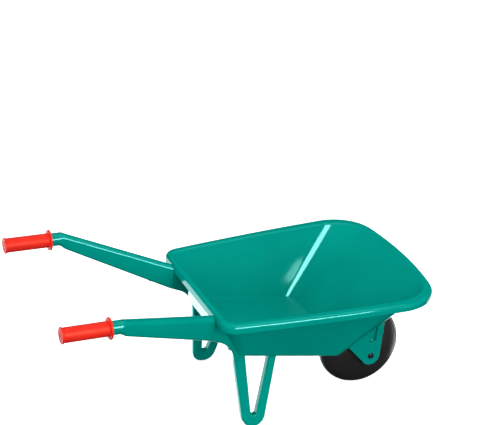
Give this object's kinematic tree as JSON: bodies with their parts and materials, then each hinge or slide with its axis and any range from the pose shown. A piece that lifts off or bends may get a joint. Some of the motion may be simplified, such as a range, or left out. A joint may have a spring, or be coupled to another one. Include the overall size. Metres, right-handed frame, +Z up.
{
  "type": "toy wheelbarrow",
  "caption": "Child's moulded plastic wheelbarrow: open tub on splayed V legs, bent handles with soft grips, and a balloon wheel turning between fork plates.",
  "frame": {"origin": "on the ground, under the middle of the whole object", "axes": "+X forward towards the wheel, +Y to the left, +Z up"},
  "size_m": [0.7634, 0.3886, 0.2739],
  "materials": {
    "tub_plastic": "glossy moulded teal green",
    "grip_rubber": "soft satin red",
    "wheel_plastic": "satin black",
    "bush_plastic": "matt black",
    "cap_plastic": "glossy black",
    "steel": "zinc plated"
  },
  "bodies": {
    "frame": {"tub": "tub_plastic", "axle": "steel", "leg_frame_left": "tub_plastic", "leg_frame_right": "tub_plastic", "handle_arm_left": "tub_plastic", "handle_arm_right": "tub_plastic", "grip_left": "grip_rubber", "grip_right": "grip_rubber", "fork_left": "tub_plastic", "fork_right": "tub_plastic", "axle_spacer_left": "bush_plastic", "axle_spacer_right": "bush_plastic", "axle_cap_left": "cap_plastic", "axle_cap_right": "cap_plastic", "rail_screws_left": "steel", "rail_screws_right": "steel", "fork_screws_left": "steel", "fork_screws_right": "steel", "arm_screw_left": "steel", "arm_screw_right": "steel"},
    "wheel": {"tyre": "wheel_plastic", "wheel_bush_left": "bush_plastic", "wheel_bush_right": "bush_plastic"}
  },
  "joints": [
    {"name": "wheel_spin", "type": "hinge", "parent": "frame", "child": "wheel", "pos_m": [0.2988, 0, 0.0829], "axis": [0, 1, 0], "continuous": true}
  ]
}
